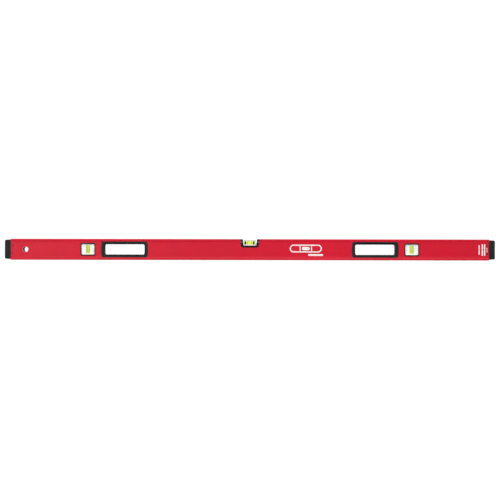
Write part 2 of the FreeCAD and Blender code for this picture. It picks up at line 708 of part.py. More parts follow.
def is_bumper_edge(edge):
    """True for the bumper's long edges between its faces and its rim, which are the rounded ones."""
    on_faces = all(abs(abs(v.Point.y) - BUMPER_Y) < TOUCH for v in edge.Vertexes)
    same_face = len({round(v.Point.y) for v in edge.Vertexes}) == 1
    at_flange = all(v.Point.x < CAP_FLANGE_END + TOUCH for v in edge.Vertexes)
    return on_faces and same_face and not at_flange


def make_cap_pegs():
    """Four soft pegs of the right cap, each with a head inside the plug and a shank in the frame's wall."""
    head_y = CAVITY_Y - PLUG_FIT - PLUG_WALL
    shanks = peg_bar(PEG_RADIUS, head_y - PEG_HEAD_THICKNESS, PEG_END_Y)
    heads = peg_bar(PEG_HEAD_RADIUS, head_y - PEG_HEAD_THICKNESS, head_y)
    return Part.makeCompound([shank.fuse(head) for shank, head in zip(shanks, heads)])


# ---- all nodes ----------------------------------------------------------------------------------------
def left_hand_pieces(envelope):
    """Pieces of the left grip and the left plumb vial. The right-hand ones are their mirror images."""
    bezel = make_plumb_bezel_front()
    surround = make_plumb_surround_front()
    return {
        "grip_front": make_grip_front(envelope),
        "grip_rear": make_grip_rear(envelope),
        "grip_upper_pad": make_grip_pad(1),
        "grip_lower_pad": make_grip_pad(-1),
        "plumb_bezel_front": bezel,
        "plumb_bezel_rear": rear_copy(bezel),
        "plumb_surround_front": surround,
        "plumb_surround_rear": rear_copy(surround),
        "plumb_vial_block": make_plumb_block(),
        "plumb_fluid": make_plumb_fluid(),
        "plumb_bubble": at_plumb(capsule(PLUMB_BUBBLE_RADIUS, BUBBLE_LENGTH)),
        "plumb_lines": make_plumb_lines(),
        "plumb_end_plug": make_plumb_plug(),
    }


def center_pieces(frame):
    """Pieces of the centre vial module."""
    housing = make_housing_front(frame)
    return {
        "center_housing_front": housing,
        "center_housing_rear": rear_copy(housing),
        "center_cradle": make_cradle(),
        "center_vial_block": make_center_block(),
        "center_fluid": make_center_fluid(),
        "center_bubble": make_center_bubble(),
        "center_bold_bands": make_center_rings(BOLD_BAND_OFFSET, BOLD_BAND_WIDTH),
        "center_fine_lines": make_center_rings(FINE_LINE_OFFSET, FINE_LINE_WIDTH),
        "center_end_plug": make_center_plug(),
    }


def cap_pieces():
    """Pieces of the right cap. The left ones are their mirror images."""
    return {"cap_core": make_cap_core(), "cap_bumper": make_cap_bumper(), "cap_snap_pegs": make_cap_pegs()}


def all_nodes():
    """Every node of the level by name."""
    frame = make_frame()
    nodes = {"frame": frame}
    nodes.update(center_pieces(frame))
    for name, shape in left_hand_pieces(make_envelope()).items():
        nodes["left_" + name] = shape
        nodes["right_" + name] = right_copy(shape)
    for name, shape in cap_pieces().items():
        nodes["right_" + name] = shape
        nodes["left_" + name] = right_copy(shape)
    return nodes


os.makedirs("parts", exist_ok=True)
for node, shape in all_nodes().items():
    shape.exportStep(os.path.join("parts", node + ".step"))
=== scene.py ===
"""Visual model of a 1500 mm box-section spirit level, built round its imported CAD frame.

The extrusion, the liquids, the bubbles and the printed marks are built here in fine meshes. The moulded
pieces keep their CAD shapes and get procedural materials. Sizes are in millimetres until a mesh is made,
and in metres after that.
"""

import json
import math

import bmesh
import bpy
from mathutils import Matrix, Vector


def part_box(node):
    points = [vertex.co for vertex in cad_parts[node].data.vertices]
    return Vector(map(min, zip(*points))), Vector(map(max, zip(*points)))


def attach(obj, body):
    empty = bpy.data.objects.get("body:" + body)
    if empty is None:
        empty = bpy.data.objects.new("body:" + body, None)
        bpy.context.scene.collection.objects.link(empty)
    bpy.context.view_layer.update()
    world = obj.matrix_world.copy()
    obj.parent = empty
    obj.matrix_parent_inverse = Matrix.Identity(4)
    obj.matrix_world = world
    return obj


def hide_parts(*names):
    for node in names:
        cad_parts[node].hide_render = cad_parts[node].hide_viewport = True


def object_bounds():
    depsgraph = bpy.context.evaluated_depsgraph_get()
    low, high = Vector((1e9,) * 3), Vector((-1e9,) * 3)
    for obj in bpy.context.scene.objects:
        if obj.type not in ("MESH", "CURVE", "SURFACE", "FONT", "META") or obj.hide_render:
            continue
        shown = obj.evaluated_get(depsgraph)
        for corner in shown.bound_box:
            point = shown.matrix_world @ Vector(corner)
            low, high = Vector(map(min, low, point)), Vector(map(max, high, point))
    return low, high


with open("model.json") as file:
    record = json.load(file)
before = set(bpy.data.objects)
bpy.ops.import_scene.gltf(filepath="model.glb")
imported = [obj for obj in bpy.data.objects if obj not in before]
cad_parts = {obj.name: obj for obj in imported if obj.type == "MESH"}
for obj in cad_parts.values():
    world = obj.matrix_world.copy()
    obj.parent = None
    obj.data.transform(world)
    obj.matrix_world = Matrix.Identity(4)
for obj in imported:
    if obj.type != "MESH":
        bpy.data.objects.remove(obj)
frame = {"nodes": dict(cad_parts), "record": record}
cad_low, cad_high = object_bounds()

MM = 0.001
SIDES = ("left", "right")

# ---- extrusion, in millimetres, with the CAD's sizes ----------------------------------------------------
HEIGHT = 64.0
MID_Z = HEIGHT / 2
FRAME_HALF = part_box("frame")[1].x / MM
RAIL_Y = 15.0
PANEL_Y = 13.2
SHOULDER_Y = 13.6
CAVITY_Y = 11.4
EDGE_WALL = 3.5
CAVITY_CORNER = 1.5
PAST = 2.0  # how far a cutting tool reaches past what it cuts
TOUCH = 0.01  # closer than this counts as touching
# a quarter of the section, from the base outwards: (y, z, rounding radius)
SECTION = (
    (RAIL_Y, 0.0, 0.6),
    (RAIL_Y, 4.5, 0.5),
    (SHOULDER_Y, 8.2, 0.6),
    (SHOULDER_Y, 11.5, 0.25),
    (PANEL_Y, 12.0, 0.25),
)
CORNER_STEPS = 8
SMOOTH_ANGLE = math.radians(32)  # edges that turn by less are shaded smooth
END_FACE = 0.9  # a face whose normal has more x than this is a sawn end
HANG_X = -FRAME_HALF + 45.0
HANG_RADIUS = 8.0
HANG_BEVEL = 0.6
GRIP_X = 383.5
GRIP_HOLE = (68.5, 21.0, 6.5)  # half width, half height and corner radius
PLUMB_X = 495.3
PLUMB_HOLE = (21.0, 18.25, 4.2)  # as for the grip
PEG_X = FRAME_HALF - 5.8
PEG_OFFSET_Z = 12.5
PEG_HOLE_RADIUS = 2.0
NOTCH_BOTTOM = (24.8, 39.8, 4.8)  # half width, z and corner radius
NOTCH_TOP = (29.3, 63.7)  # half width and z
NOTCH_WIDE = (27.87, 53.0)  # the shoulders, where the notch widens by a step
NOTCH_WIDE_TOP = 30.65

# ---- vials ---------------------------------------------------------------------------------------------
LIQUID_GAP = 0.06  # between the liquid and its bore
GROOVE_GAP = 0.08  # between the liquid and a printed ring
LIQUID_ROUND = 0.35  # rounding of the liquid's ends
LIQUID_CHAMFER = 0.1
CENTER_MID_X = -0.9
CENTER_AXIS_Z = 53.0
CENTER_BORE = (17.4, 5.6, 5.3)  # half length, radius in the middle and at the ends
CENTER_RINGS = ((13.0, 4.8), (6.4, 0.7))  # offset and width
CENTER_RING_INNER = 5.0
CENTER_BUBBLE = (4.1, 1.9)  # half width and half height
CENTER_BUBBLE_DROOP = 0.085  # how much the bubble's sides follow the round top of its bore
ACRYLIC_BEVEL_Z = 0.0595  # in metres: only the centre block is bevelled, and only above this
BEVEL_TOLERANCE = 0.1
PLUMB_BORE = (12.8, 5.65, 5.35)  # as for the centre vial
PLUMB_RINGS = ((6.5, 0.7),)
PLUMB_RING_INNER = 5.0
PLUMB_BUBBLE = (5.7, 4.15)  # half length and radius
ROUND_STEPS = 72
BUBBLE_RINGS = 28
BUBBLE_SIDES = 48
BUBBLE_ENDS = (2.6, 1 / 2.2)  # exponents of the superellipse that closes a bubble's ends
BUBBLE_SMOOTH_ANGLE = math.radians(80)


# ---- outlines ------------------------------------------------------------------------------------------
def rounded(corners, steps=CORNER_STEPS):
    """Points of a closed outline through corners (a, b, radius), each corner rounded to its own radius."""
    points = []
    count = len(corners)
    for i, (a, b, radius) in enumerate(corners):
        here = Vector((a, b))
        if not radius:
            points.append(here)
            continue
        arriving = (here - Vector(corners[i - 1][:2])).normalized()
        leaving = (Vector(corners[(i + 1) % count][:2]) - here).normalized()
        turn = arriving.angle_signed(leaving)
        start = here - arriving * radius * math.tan(abs(turn) / 2)
        side = Vector((arriving.y, -arriving.x)) * (1 if turn > 0 else -1)
        center = start + side * radius
        for k in range(steps + 1):
            swing = Matrix.Rotation(-turn * k / steps, 2)
            points.append(center + swing @ (start - center))
    return points


def rectangle(center, size, radius=0.0):
    """Corners of a rounded rectangle from its centre and half sizes."""
    (a, b), (half_a, half_b) = center, size
    return [(a + i * half_a, b + j * half_b, radius) for i, j in ((-1, -1), (1, -1), (1, 1), (-1, 1))]


def circle(center, radius, steps=ROUND_STEPS):
    """Points of a circle."""
    turns = [2 * math.pi * k / steps for k in range(steps)]
    return [Vector((center[0] + radius * math.cos(t), center[1] + radius * math.sin(t))) for t in turns]


def section_outline():
    """The extrusion's outer section, as points (y, z) in order round it."""
    right = list(SECTION) + [(y, HEIGHT - z, r) for y, z, r in reversed(SECTION)]
    left = [(-y, z, r) for y, z, r in reversed(right)]
    return rounded(right + left)


# ---- meshes --------------------------------------------------------------------------------------------
def along_x(point, t):
    """A point of a YZ outline at x = t."""
    return Vector((t, point.x, point.y))


def along_y(point, t):
    """A point of an XZ outline at y = t."""
    return Vector((point.x, t, point.y))


def skin(bm, rings):
    """Faces between rings of points, and across both ends."""
    loops = [[bm.verts.new(p) for p in ring] for ring in rings]
    for lower, upper in zip(loops, loops[1:]):
        for i in range(len(lower)):
            bm.faces.new((lower[i - 1], lower[i], upper[i], upper[i - 1]))
    bm.faces.new(list(reversed(loops[0])))
    bm.faces.new(loops[-1])


def make_object(name, bm, smooth_angle=SMOOTH_ANGLE):
    """Object from a bmesh in millimetres, with outward normals and smooth shading below an angle."""
    bmesh.ops.recalc_face_normals(bm, faces=bm.faces)
    mesh = bpy.data.meshes.new(name)
    bm.to_mesh(mesh)
    bm.free()
    mesh.transform(Matrix.Scale(MM, 4))
    mesh.shade_smooth()
    mesh.set_sharp_from_angle(angle=smooth_angle)
    piece = bpy.data.objects.new(name, mesh)
    bpy.context.scene.collection.objects.link(piece)
    return piece


def prism(name, outline, place, start, end):
    """Object with a straight-sided outline from start to end."""
    bm = bmesh.new()
    skin(bm, [[place(p, t) for p in outline] for t in (start, end)])
    return make_object(name, bm)


def lathe(name, profile, axis_place):
    """Solid of revolution from a profile of (position along the axis, radius)."""
    bm = bmesh.new()
    rings = []
    for t, radius in profile:
        rings.append([axis_place(p, t) for p in circle((0, 0), radius)])
    skin(bm, rings)
    return make_object(name, bm)


def join_bmesh(name, builders):
    """One object from several closed shapes that don't touch."""
    bm = bmesh.new()
    for build in builders:
        build(bm)
    return make_object(name, bm)


def through_cutter(name, outline):
    """Cutting tool through both side walls."""
    return prism(name, outline, along_y, -RAIL_Y - PAST, RAIL_Y + PAST)


def hang_bevel_cutter(name, side):
    """Cone that takes the edge off the hang hole on one side panel."""
    bm = bmesh.new()
    depths = (PANEL_Y - HANG_BEVEL, PANEL_Y + HANG_BEVEL)
    radii = (HANG_RADIUS, HANG_RADIUS + 2 * HANG_BEVEL)
    skin(bm, [[along_y(p, side * d) for p in circle((HANG_X, MID_Z), r)] for d, r in zip(depths, radii)])
    return make_object(name, bm)


def notch_outlines():
    """The centre vial's notch: the tapered lower part, the wide shoulders and the opening at the top."""
    half, low, corner = NOTCH_BOTTOM
    top_half, top = NOTCH_TOP
    wide_half, wide_z = NOTCH_WIDE
    taper = [(-top_half, top, 0), (-half, low, corner), (half, low, corner), (top_half, top, 0)]
    shoulders = [
        (-wide_half, wide_z, 0),
        (wide_half, wide_z, 0),
        (NOTCH_WIDE_TOP, top, 0),
        (-NOTCH_WIDE_TOP, top, 0),
    ]
    over = rectangle((0, top + PAST), (NOTCH_WIDE_TOP, PAST + TOUCH))
    return [rounded(corners) for corners in (taper, shoulders, over)]


def frame_cutters():
    """Every cutting tool of the extrusion."""
    cavity = rounded(rectangle((0, MID_Z), (CAVITY_Y, MID_Z - EDGE_WALL), CAVITY_CORNER))
    tools = [prism("cavity", cavity, along_x, -FRAME_HALF - PAST, FRAME_HALF + PAST)]
    tools += [through_cutter("notch", outline) for outline in notch_outlines()]
    tools.append(through_cutter("hang", circle((HANG_X, MID_Z), HANG_RADIUS, 2 * ROUND_STEPS)))
    for side in (-1, 1):
        tools.append(hang_bevel_cutter("bevel", side))
        for x, (half_x, half_z, corner) in ((GRIP_X, GRIP_HOLE), (PLUMB_X, PLUMB_HOLE)):
            outline = rounded(rectangle((side * x, MID_Z), (half_x, half_z), corner))
            tools.append(through_cutter("window", outline))
        for up in (-1, 1):
            center = (side * PEG_X, MID_Z + up * PEG_OFFSET_Z)
            tools.append(through_cutter("peg", circle(center, PEG_HOLE_RADIUS, ROUND_STEPS // 2)))
    return tools


def carve(piece, tools):
    """Cuts the tools out of a piece, applies the result and removes the tools."""
    for tool in tools:
        cut = piece.modifiers.new("cut", "BOOLEAN")
        cut.operation = "DIFFERENCE"
        cut.solver = "EXACT"
        cut.object = tool
    bpy.context.view_layer.update()
    shape = piece.evaluated_get(bpy.context.evaluated_depsgraph_get())
    carved = bpy.data.meshes.new_from_object(shape)
    piece.modifiers.clear()
    piece.data = carved
    for tool in tools:
        bpy.data.objects.remove(tool)


def is_painted(mesh, face):
    """True for a face of the extrusion's outside. Cut faces, cut edges and the inside are bare metal."""
    corners = [mesh.vertices[i].co / MM for i in face.vertices]
    outside = all(abs(c.y) > PANEL_Y - TOUCH or c.z < TOUCH or c.z > HEIGHT - TOUCH for c in corners)
    reaches_in = any(abs(c.y) < PANEL_Y - TOUCH and TOUCH < c.z < HEIGHT - TOUCH for c in corners)
    return outside and not reaches_in and abs(face.normal.x) < END_FACE


def is_inside(mesh, face):
    """True for a face of the cavity's own walls."""
    corners = [mesh.vertices[i].co / MM for i in face.vertices]
    low, high = EDGE_WALL - TOUCH, HEIGHT - EDGE_WALL + TOUCH
    return all(abs(c.y) < CAVITY_Y + TOUCH and low < c.z < high for c in corners)


def make_extrusion():
    """The frame as one fine mesh: powder-coated outside, bare where it is cut, and painted shade inside:
    near-black on the inside walls, where little light reaches.
    """
    piece = prism("level_extrusion", section_outline(), along_x, -FRAME_HALF, FRAME_HALF)
    carve(piece, frame_cutters())
    mesh = piece.data
    mesh.shade_smooth()
    mesh.set_sharp_from_angle(angle=SMOOTH_ANGLE)
    mesh.materials.clear()
    finishes = ("red_paint", "bare_aluminium", "painted_shade_inside")
    for finish in finishes:
        mesh.materials.append(MATERIALS[finish])
    # the cavity's walls get painted shade; the other unpainted faces are bare metal
    for face in mesh.polygons:
        finish = "painted_shade_inside" if is_inside(mesh, face) else "bare_aluminium"
        if is_painted(mesh, face):
            finish = "red_paint"
        face.material_index = finishes.index(finish)
    weighted = piece.modifiers.new("weighted", "WEIGHTED_NORMAL")
    weighted.keep_sharp = True
    return piece


# ---- vials ---------------------------------------------------------------------------------------------
def barrel_radius(bore, t):
    """Radius of a barrel-shaped bore at a distance t from its middle."""
    half, middle, end = bore
    sag = middle - end
    wall = (half * half + sag * sag) / (2 * sag)
    return middle - (wall - math.sqrt(wall * wall - t * t))


def liquid_profile(bore, rings, ring_inner):
    """Profile of the liquid that fills a bore and steps in under its printed rings."""
    half = bore[0] - LIQUID_GAP
    groove = ring_inner - GROOVE_GAP
    half_profile = [(0.0, barrel_radius(bore, 0.0) - LIQUID_GAP)]
    for offset, width in sorted(rings):
        near, far = offset - width / 2 - GROOVE_GAP, offset + width / 2 + GROOVE_GAP
        half_profile.append((near, barrel_radius(bore, near) - LIQUID_GAP))
        half_profile += [(near, groove), (far, groove)]
        half_profile.append((far, barrel_radius(bore, far) - LIQUID_GAP))
    end_radius = barrel_radius(bore, half) - LIQUID_GAP
    half_profile += [
        (half - LIQUID_ROUND, end_radius),
        (half - LIQUID_CHAMFER, end_radius - LIQUID_CHAMFER),
        (half, end_radius - LIQUID_ROUND),
    ]
    return [(-t, r) for t, r in reversed(half_profile[1:])] + half_profile


def make_center_liquid():
    """The liquid of the centre vial, round the X axis."""
    profile = liquid_profile(CENTER_BORE, CENTER_RINGS, CENTER_RING_INNER)

    def place(p, t):
        return Vector((CENTER_MID_X + t, p.x, CENTER_AXIS_Z + p.y))

    return lathe("center_liquid", profile, place)


def make_plumb_liquid(side, x):
    """The liquid of one plumb vial, round the Z axis."""
    profile = liquid_profile(PLUMB_BORE, PLUMB_RINGS, PLUMB_RING_INNER)
    return lathe(side + "_plumb_liquid", profile, lambda p, t: Vector((x + p.x, p.y, MID_Z + t)))


def make_bubble(name, half_length, half_width, half_height, place, bend):
    """A smooth bubble: a superellipsoid along t, whose sides droop by bend to follow its bore."""
    bm = bmesh.new()
    rings = []
    along_power, girth_power = BUBBLE_ENDS
    for k in range(1, BUBBLE_RINGS):
        t = -math.cos(math.pi * k / BUBBLE_RINGS)
        girth = (1 - abs(t) ** along_power) ** girth_power
        ring = []
        for p in circle((0, 0), 1.0, BUBBLE_SIDES):
            across = p.x * half_width * girth
            up = p.y * half_height * girth - bend * across * across
            ring.append(place(t * half_length, across, up))
        rings.append(ring)
    skin(bm, rings)
    return make_object(name, bm, BUBBLE_SMOOTH_ANGLE)


def make_center_air():
    """The centre vial's bubble, against the top of the bore where its CAD node is."""
    low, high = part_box("center_bubble")
    half_length = (high.x - low.x) / 2 / MM
    half_width, half_height = CENTER_BUBBLE
    middle = high.z / MM - half_height

    def place(t, across, up):
        return Vector((CENTER_MID_X + t, across, middle + up))

    return make_bubble("center_air", half_length, half_width, half_height, place, CENTER_BUBBLE_DROOP)


def make_plumb_air(side, x):
    """The bubble of one plumb vial, round the vial's axis."""
    half_length, radius = PLUMB_BUBBLE

    def place(t, across, up):
        return Vector((x + across, up, MID_Z + t))

    return make_bubble(side + "_plumb_air", half_length, radius, radius, place, 0.0)


# ---- node trees ----------------------------------------------------------------------------------------
MICRON = 0.000001
EVEN = (1.0, 1.0, 1.0)
WHOLE = (0.0, 1.0)
NOISE_RANGE = (0.3, 0.7)  # most of a noise texture's values lie between these
IOR = 1.5
EDGE_TURN = (0.015, 0.12)  # turn of the rounded normal where a worn edge begins, and where it is full
COLOR_A, COLOR_B, COLOR_RESULT = 6, 7, 2  # sockets of a Mix node that mixes colours


def shade(color, factor=1.0):
    """A colour made lighter or darker, as RGBA."""
    return tuple(min(1.0, c * factor) for c in color) + (1.0,)


class Surface:
    """A Principled material with helpers for the procedural nodes that feed it."""

    def __init__(self, name, metallic=0.0, specular=0.5):
        self.material = bpy.data.materials.new(name)
        self.material.use_nodes = True
        self.tree = self.material.node_tree
        self.shader = self.tree.nodes["Principled BSDF"]
        self.shader.inputs["Metallic"].default_value = metallic
        self.shader.inputs["Specular IOR Level"].default_value = specular
        self.shader.inputs["IOR"].default_value = IOR
        self.place = self.add("ShaderNodeTexCoord").outputs["Object"]

    def add(self, kind, **settings):
        """A new node with its properties set."""
        node = self.tree.nodes.new(kind)
        for key, value in settings.items():
            setattr(node, key, value)
        return node

    def put(self, node, socket, value):
        """Sets a socket to a value, or links it to an output."""
        target = node.inputs[socket]
        if isinstance(value, bpy.types.NodeSocket):
            self.tree.links.new(value, target)
        else:
            target.default_value = value

    def noise(self, scale, detail=2.0, stretch=EVEN, roughness=0.5):
        """Noise in object space, in cycles a metre, drawn out along an axis by a small factor there."""
        mapping = self.add("ShaderNodeMapping", vector_type="POINT")
        self.put(mapping, "Vector", self.place)
        self.put(mapping, "Scale", stretch)
        texture = self.add("ShaderNodeTexNoise")
        self.put(texture, "Vector", mapping.outputs["Vector"])
        self.put(texture, "Scale", scale)
        self.put(texture, "Detail", detail)
        self.put(texture, "Roughness", roughness)
        return texture.outputs["Fac"]

    def spread(self, value, low, high, to_low=0.0, to_high=1.0):
        """A value remapped from one range to another, and clamped."""
        node = self.add("ShaderNodeMapRange", clamp=True)
        self.put(node, "Value", value)
        self.put(node, "From Min", low)
        self.put(node, "From Max", high)
        self.put(node, "To Min", to_low)
        self.put(node, "To Max", to_high)
        return node.outputs["Result"]

    def peaks(self, scale, detail, window, stretch=EVEN, to=WHOLE):
        """Noise that starts to show at the low end of a window and is full at its high end."""
        return self.spread(self.noise(scale, detail, stretch), *window, *to)

    def clouds(self, scale, detail=2.0, stretch=EVEN, to=WHOLE):
        """Noise that fills a whole range."""
        return self.peaks(scale, detail, NOISE_RANGE, stretch, to)

    def calc(self, operation, a, b):
        """One arithmetic step."""
        node = self.add("ShaderNodeMath", operation=operation)
        self.put(node, 0, a)
        self.put(node, 1, b)
        return node.outputs["Value"]

    def blend(self, factor, first, second):
        """A colour between two colours."""
        node = self.add("ShaderNodeMix", data_type="RGBA")
        self.put(node, "Factor", factor)
        self.put(node, COLOR_A, first)
        self.put(node, COLOR_B, second)
        return node.outputs[COLOR_RESULT]

    def mottle(self, factor, pair):
        """A colour that drifts between a pair of colours."""
        first, second = pair
        return self.blend(factor, shade(first), shade(second))

    def paint(self, under, mask, strength, color):
        """A colour laid over another where a mask is, at up to a strength."""
        return self.blend(self.calc("MULTIPLY", mask, strength), under, shade(color))

    def edge_mask(self, radius, turn=EDGE_TURN):
        """How near a point is to a sharp edge, from how far a rounded normal turns from the true one."""
        bevel = self.add("ShaderNodeBevel", samples=4)
        self.put(bevel, "Radius", radius)
        true_normal = self.add("ShaderNodeNewGeometry").outputs["Normal"]
        dot = self.add("ShaderNodeVectorMath", operation="DOT_PRODUCT")
        self.put(dot, 0, bevel.outputs["Normal"])
        self.put(dot, 1, true_normal)
        turned = self.calc("SUBTRACT", 1.0, dot.outputs["Value"])
        return self.spread(turned, *turn)

    def bump(self, height, distance, below=None):
        """A bump of a height map, on top of another bump."""
        node = self.add("ShaderNodeBump")
        self.put(node, "Strength", 1.0)
        self.put(node, "Distance", distance)
        self.put(node, "Height", height)
        if below is not None:
            self.put(node, "Normal", below)
        return node.outputs["Normal"]

    def finish(self, color, roughness, normal):
        """Links colour, roughness and normal to the shader."""
        self.put(self.shader, "Base Color", color)
        self.put(self.shader, "Roughness", roughness)
        self.put(self.shader, "Normal", normal)
        return self.material


# ---- colours, linear: a pair is a tone's darker and lighter drift ----------------------------------------
RED = (0.615, 0.0018, 0.0225)
RED_DRIFT = (0.94, 1.05)
RED_GRAIN = (0.50, 0.006, 0.016)
RED_RUBBED = (0.72, 0.05, 0.07)
RED_WORN = (0.74, 0.07, 0.09)
BARE_METAL = ((0.72, 0.72, 0.73), (0.86, 0.86, 0.87))
# painted shade: near-black for the cavity's bare aluminium walls, where little light reaches
INSIDE_PAINTED_SHADE = ((0.020, 0.020, 0.021), (0.034, 0.034, 0.035))
WHITE_ABS = ((0.92, 0.925, 0.915), (0.96, 0.96, 0.955))
DUST = (0.55, 0.56, 0.55)
WHITE_INK = ((0.80, 0.79, 0.78), (0.90, 0.89, 0.88))
THIN_INK = (0.70, 0.30, 0.31)
BLACK_INK = ((0.006, 0.006, 0.007), (0.016, 0.016, 0.017))
# the next two acrylic colours are painted light: the grey pair is painted sheen towards the block's
# silhouette, the dark one painted shade on its bevels and cut edges
ACRYLIC_PAINTED_SHEEN = ((0.30, 0.33, 0.30), (0.42, 0.45, 0.42))
ACRYLIC_EDGE_PAINTED_SHADE = (0.13, 0.13, 0.08)
ACRYLIC_TINT = (0.985, 0.995, 0.985)
LIQUID = ((0.56, 0.68, 0.018), (0.66, 0.76, 0.030))
LIQUID_EDGE = (0.80, 0.80, 0.06)
LIQUID_TINT = (0.92, 0.955, 0.46)
# the bubble's colours are painted light: the pale pair is painted highlight, the olive one painted shade at
# its rim
AIR_PAINTED_HIGHLIGHT = ((0.62, 0.62, 0.50), (0.70, 0.70, 0.58))
AIR_RIM_PAINTED_SHADE = (0.16, 0.18, 0.02)
AIR_TINT = (0.98, 0.99, 0.93)
FLOOR_WHITE = ((0.93, 0.93, 0.93), (0.95, 0.95, 0.95))


# ---- materials -----------------------------------------------------------------------------------------
def make_red_paint():
    """Semi-gloss red powder coat: orange peel, faint drawing lines, fine rubs and slightly worn edges."""
    s = Surface("red_paint", specular=0.24)
    darker, lighter = RED_DRIFT
    color = s.blend(s.clouds(7.0, 3.0), shade(RED, darker), shade(RED, lighter))
    grain = s.peaks(2600.0, 2.0, window=(0.35, 0.70))
    color = s.paint(color, grain, strength=0.10, color=RED_GRAIN)
    rubs = s.peaks(900.0, 3.0, window=(0.62, 0.80), stretch=(0.012, 1.0, 1.0))
    rubbed = s.calc("MULTIPLY", rubs, s.peaks(11.0, 2.0, window=(0.50, 0.72)))
    color = s.paint(color, rubbed, strength=0.16, color=RED_RUBBED)
    wear = s.calc("MULTIPLY", s.edge_mask(radius=0.0006), s.peaks(160.0, 4.0, window=(0.48, 0.72)))
    color = s.paint(color, wear, strength=0.45, color=RED_WORN)
    roughness = s.clouds(60.0, 3.0, to=(0.36, 0.46))
    roughness = s.calc("ADD", roughness, s.calc("MULTIPLY", rubbed, 0.14))
    peel = s.bump(s.noise(520.0), 35 * MICRON)
    peel = s.bump(s.noise(2100.0), 10 * MICRON, peel)
    drawing_lines = s.noise(700.0, stretch=(0.006, 1.0, 1.0))
    return s.finish(color, roughness, s.bump(drawing_lines, 12 * MICRON, peel))


def make_bare_aluminium():
    """Sawn and milled aluminium with fine tool lines."""
    s = Surface("bare_aluminium", metallic=1.0)
    color = s.mottle(s.clouds(120.0, 4.0), BARE_METAL)
    lines = s.noise(1800.0, 3.0, stretch=(1.0, 0.04, 1.0))
    roughness = s.spread(lines, *NOISE_RANGE, 0.28, 0.46)
    return s.finish(color, roughness, s.bump(lines, 20 * MICRON))


def make_painted_shade_inside():
    """The cavity's own walls in painted shade: near-black stands in for the little light that reaches the
    bare metal inside. Bumps carry the lines that drawing left.
    """
    s = Surface("painted_shade_inside", specular=0.1)
    color = s.mottle(s.clouds(90.0, 4.0), INSIDE_PAINTED_SHADE)
    lines = s.noise(1500.0, 3.0, stretch=(0.02, 1.0, 1.0))
    roughness = s.spread(lines, *NOISE_RANGE, 0.75, 0.90)
    return s.finish(color, roughness, s.bump(lines, 20 * MICRON))


def make_moulded(name, color, base_roughness, grain_scale, grain_depth, edge_lift, specular):
    """Moulded plastic or rubber: spark-eroded grain, cloudy tone, faint scuffs, lighter handled edges."""
    s = Surface(name, specular=specular)
    tone = s.blend(s.clouds(45.0, 4.0), shade(color, 0.86), shade(color, 1.14))
    speck = s.peaks(grain_scale * 1.7, 2.0, window=(0.55, 0.75))
    tone = s.blend(s.calc("MULTIPLY", speck, 0.25), tone, shade(color, 1.6))
    scuffs = s.peaks(260.0, 4.0, window=(0.60, 0.78), stretch=(0.12, 1.0, 1.0))
    scuffs = s.calc("MULTIPLY", scuffs, s.peaks(38.0, 2.0, window=(0.48, 0.66)))
    handled = s.peaks(220.0, 3.0, window=(0.30, 0.75), to=(0.35, 1.0))
    edges = s.calc("MULTIPLY", s.edge_mask(radius=0.0005), handled)
    marks = s.calc("MAXIMUM", s.calc("MULTIPLY", scuffs, 0.30), s.calc("MULTIPLY", edges, 0.55))
    tone = s.blend(marks, tone, shade(color, edge_lift))
    roughness = s.clouds(grain_scale * 0.25, 3.0, to=(base_roughness - 0.05, base_roughness + 0.05))
    roughness = s.calc("SUBTRACT", roughness, s.calc("MULTIPLY", edges, 0.06))
    return s.finish(tone, roughness, s.bump(s.noise(grain_scale, 3.0, roughness=0.6), grain_depth))


def make_white_plastic():
    """Smooth white ABS that lets a little light in, with specks of dust."""
    s = Surface("white_plastic", specular=0.4)
    tone = s.mottle(s.clouds(90.0, 3.0), WHITE_ABS)
    dust = s.peaks(900.0, 4.0, window=(0.62, 0.85), to=(0.0, 0.10))
    tone = s.blend(dust, tone, shade(DUST))
    s.shader.inputs["Subsurface Weight"].default_value = 0.15
    s.shader.inputs["Subsurface Radius"].default_value = (0.002, 0.002, 0.0018)
    s.shader.inputs["Subsurface Scale"].default_value = 1.0
    return s.finish(tone, s.clouds(300.0, to=(0.32, 0.42)), s.bump(s.noise(1400.0), 6 * MICRON))


def make_printed_white():
    """White screen print: slightly thin and uneven where the paint below is rough."""
    s = Surface("printed_white", specular=0.4)
    thin = s.peaks(1600.0, 3.0, window=(0.58, 0.85), to=(0.0, 0.22))
    tone = s.mottle(s.clouds(60.0), WHITE_INK)
    tone = s.blend(thin, tone, shade(THIN_INK))
    return s.finish(tone, s.clouds(500.0, to=(0.42, 0.56)), s.bump(s.noise(2200.0), 8 * MICRON))


def make_black_print():
    """Black ink of the vial lines."""
    s = Surface("black_print", specular=0.35)
    tone = s.mottle(s.clouds(700.0, 3.0), BLACK_INK)
    return s.finish(tone, s.clouds(900.0, to=(0.30, 0.45)), s.bump(s.noise(2500.0), 6 * MICRON))


def facing(s, power):
    """How far a surface turns from the line of sight, from 0 square on to 1 edge on, raised to a power."""
    return s.calc("POWER", s.add("ShaderNodeLayerWeight").outputs["Facing"], power)


def see_through(s, share, tint):
    """Ends a material in a mix of tinted sight and its own shader, by the shader's share."""
    clear = s.add("ShaderNodeBsdfTransparent")
    s.put(clear, "Color", shade(tint))
    mix = s.add("ShaderNodeMixShader")
    s.put(mix, 0, share)
    s.put(mix, 1, clear.outputs[0])
    s.put(mix, 2, s.shader.outputs[0])
    s.tree.links.new(mix.outputs[0], s.tree.nodes["Material Output"].inputs["Surface"])


def glow(s, tone, strength):
    """Adds painted light to a material: emission from a part that is no lamp."""
    s.put(s.shader, "Emission Color", tone)
    s.shader.inputs["Emission Strength"].default_value = strength


